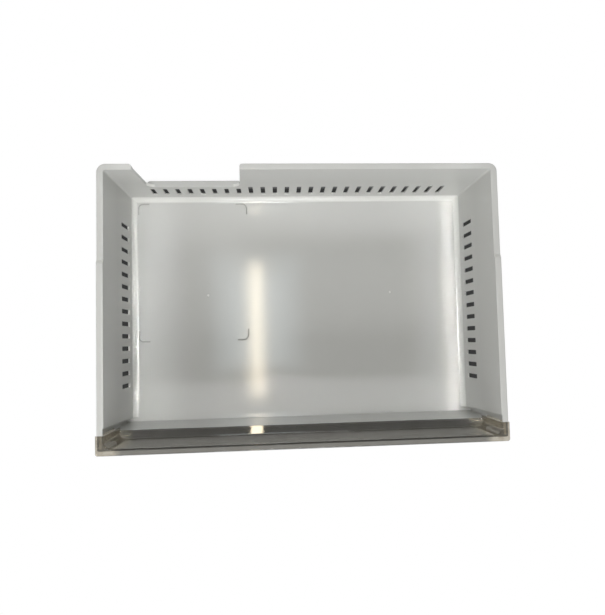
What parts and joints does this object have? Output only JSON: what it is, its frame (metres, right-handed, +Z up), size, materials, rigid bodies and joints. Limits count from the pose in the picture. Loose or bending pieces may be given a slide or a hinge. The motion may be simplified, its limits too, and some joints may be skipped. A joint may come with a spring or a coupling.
{
  "type": "refrigerator drawer",
  "caption": "Wide, shallow refrigerator drawer: a white open tub with vent slots and a cut-out in the back wall, closed at the front by a clear cover with a pull lip.",
  "frame": {"origin": "under the middle of the drawer, on the plane of its underside", "axes": "+X to the right seen from the front, -Y out of the front, +Z up"},
  "size_m": [0.602, 0.42, 0.1375],
  "materials": {
    "white": "semi-gloss moulded plastic",
    "clear": "clear smoke-tinted plastic"
  },
  "bodies": {
    "root": {"drawer_tub": "white", "front_cover": "clear"}
  },
  "joints": []
}
